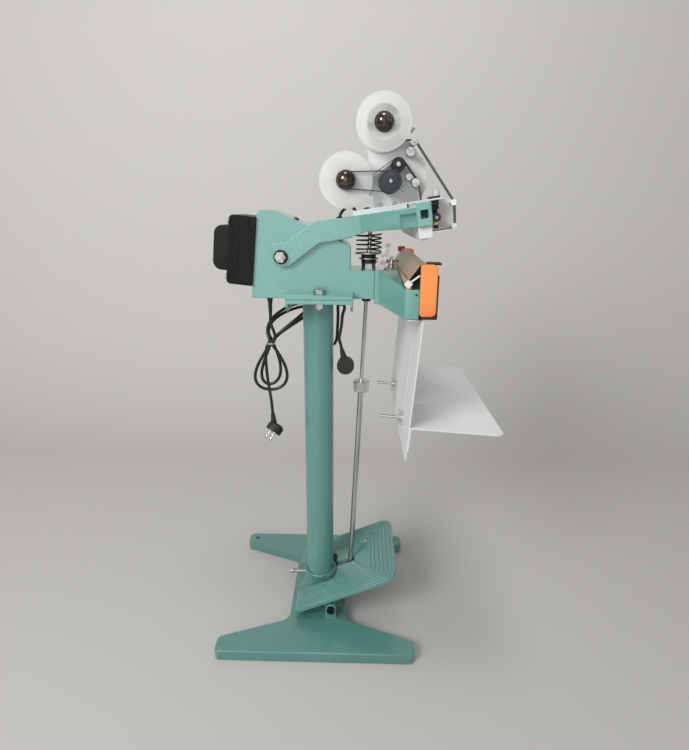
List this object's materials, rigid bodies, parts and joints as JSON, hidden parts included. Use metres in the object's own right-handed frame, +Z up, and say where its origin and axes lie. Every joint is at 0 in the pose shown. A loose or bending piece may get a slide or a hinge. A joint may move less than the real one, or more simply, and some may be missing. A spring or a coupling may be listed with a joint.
{
  "type": "pedal heat sealer with ribbon date coder",
  "caption": "Floor-standing pedal heat sealer: pull rod closes a hinged pressing arm on a heated seal bar; ribbon date coder on the arm, bag tray in front.",
  "frame": {"origin": "on the floor, on the column's axis", "axes": "+X towards the operator (the tray side), +Y to the operator's right, +Z up"},
  "size_m": [0.5551, 0.42, 1.1005],
  "materials": {
    "painted_green": "hammered gloss paint",
    "column_green": "smooth gloss paint",
    "steel": "satin",
    "dark_steel": "black oxide",
    "lamination": "varnished",
    "coil": "taped winding",
    "orange": "moulded",
    "white_metal": "smooth powder coat",
    "black_plastic": "matte",
    "rubber": "matte",
    "cloth": "coated glass cloth",
    "clamp_tan": "satin",
    "aluminium": "brushed",
    "element": "flat strip",
    "lamp_red": "translucent",
    "rocker_red": "translucent",
    "pad_white": "silicone",
    "clear": "clear",
    "ribbon_black": "satin film",
    "pvc": "satin",
    "chrome": "bright"
  },
  "bodies": {
    "stand": {"base_casting": "painted_green", "column_tube": "column_green", "column_head_plate": "painted_green", "column_set_screw": "steel", "flange_bolts": "steel", "body_casting": "painted_green", "transformer_core": "lamination", "transformer_coil": "coil", "transformer_bolts": "steel", "arm_pivot_bolts": "steel", "arm_pivot_washers": "dark_steel", "lower_jaw_casting": "painted_green", "seal_bar": "aluminium", "heating_element": "element", "ptfe_cloth": "cloth", "cloth_clamp_bar": "clamp_tan", "element_terminals": "steel", "feed_trip_link": "aluminium", "control_housing": "orange", "control_faceplate": "black_plastic", "pilot_lamp": "lamp_red", "print_anvil": "black_plastic", "tray_hanger": "white_metal", "rod_guide_bush": "black_plastic", "rubber_buffers": "rubber", "buffer_washers": "steel", "return_spring": "dark_steel", "pedal_pivot_bolts": "dark_steel", "lead_glands": "black_plastic", "mains_lead_run": "pvc", "mains_lead_hank": "pvc", "mains_lead_tail": "pvc", "lead_tie": "black_plastic", "mains_plug": "black_plastic", "coder_lead": "pvc", "coder_plug": "black_plastic"},
    "rocker": {"power_rocker": "rocker_red"},
    "heat_dial": {"heat_knob": "black_plastic"},
    "tray_carriage": {"tray": "white_metal", "tray_wing_bolts": "steel"},
    "pedal": {"pedal_plate": "painted_green"},
    "pull_rod": {"rod_lower": "chrome", "rod_upper": "chrome", "rod_pin_and_nut": "steel"},
    "collar": {"rod_collar": "aluminium"},
    "arm": {"arm_casting": "painted_green", "press_bar": "white_metal", "press_pad": "pad_white", "coder_base_plate": "white_metal", "coder_side_plate": "aluminium", "coder_posts": "steel", "coder_front_bracket": "aluminium", "print_head": "black_plastic", "ribbon": "ribbon_black", "takeup_belt": "black_plastic"},
    "print_knob": {"head_knob": "black_plastic"},
    "supply": {"supply_spool": "clear"},
    "takeup": {"takeup_spool": "clear"},
    "drive": {"drive_wheel": "rubber"},
    "pinch": {"pinch_roller": "rubber"}
  },
  "joints": [
    {"name": "pedal_hinge", "type": "hinge", "parent": "stand", "child": "pedal", "pos_m": [0.03, 0, 0.048], "axis": [0, 1, 0], "range_deg": [0, 34.71]},
    {"name": "arm_hinge", "type": "hinge", "parent": "stand", "child": "arm", "pos_m": [-0.066, 0, 0.816], "axis": [0, 1, 0], "range_deg": [0, 8.5], "stiffness_Nm_per_rad": 60, "springref_deg": -17.19, "deforming": ["return_spring"]},
    {"name": "rod_slide", "type": "slide", "parent": "stand", "child": "pull_rod", "axis": [-0.0409, 0, -0.9992], "range_m": [0, 0.02565]},
    {"name": "collar_turn", "type": "hinge", "parent": "pull_rod", "child": "collar", "pos_m": [0.071, 0, 0.06081], "axis": [0.0409, 0, 0.9992], "continuous": true},
    {"name": "drive_turn", "type": "hinge", "parent": "arm", "child": "drive", "pos_m": [0.1372, -0.031, 0.95152], "axis": [0, 1, 0], "continuous": true},
    {"name": "pinch_turn", "type": "hinge", "parent": "arm", "child": "pinch", "pos_m": [0.15116, -0.031, 0.9812], "axis": [0, 1, 0], "continuous": true},
    {"name": "takeup_turn", "type": "hinge", "parent": "arm", "child": "takeup", "pos_m": [0.05601, -0.031, 0.95354], "axis": [0, 1, 0], "continuous": true},
    {"name": "supply_turn", "type": "hinge", "parent": "arm", "child": "supply", "pos_m": [0.12284, -0.031, 1.05099], "axis": [0, 1, 0], "continuous": true},
    {"name": "print_knob_turn", "type": "hinge", "parent": "arm", "child": "print_knob", "pos_m": [0.22479, -0.043, 0.88979], "axis": [0, 1, 0], "continuous": true},
    {"name": "rocker_tip", "type": "hinge", "parent": "stand", "child": "rocker", "pos_m": [0.2105, -0.15, 0.784], "axis": [0, 1, 0], "range_deg": [-16, 0]},
    {"name": "heat_turn", "type": "hinge", "parent": "stand", "child": "heat_dial", "pos_m": [0.2145, 0.04, 0.782], "axis": [1, 0, 0], "range_deg": [-150, 150]},
    {"name": "tray_slide", "type": "slide", "parent": "stand", "child": "tray_carriage", "axis": [0.0732, 0, 0.9973], "range_m": [-0.02, 0.15]}
  ],
  "couplings": [
    {"joint": "arm_hinge", "follows": "pedal_hinge", "ratio": 0.2449},
    {"joint": "rod_slide", "follows": "pedal_hinge", "m_per_rad": 0.042336},
    {"joint": "pinch_turn", "follows": "drive_turn", "ratio": -1.7083},
    {"joint": "takeup_turn", "follows": "drive_turn", "ratio": 1.3077},
    {"joint": "supply_turn", "follows": "drive_turn", "ratio": -0.68333}
  ]
}
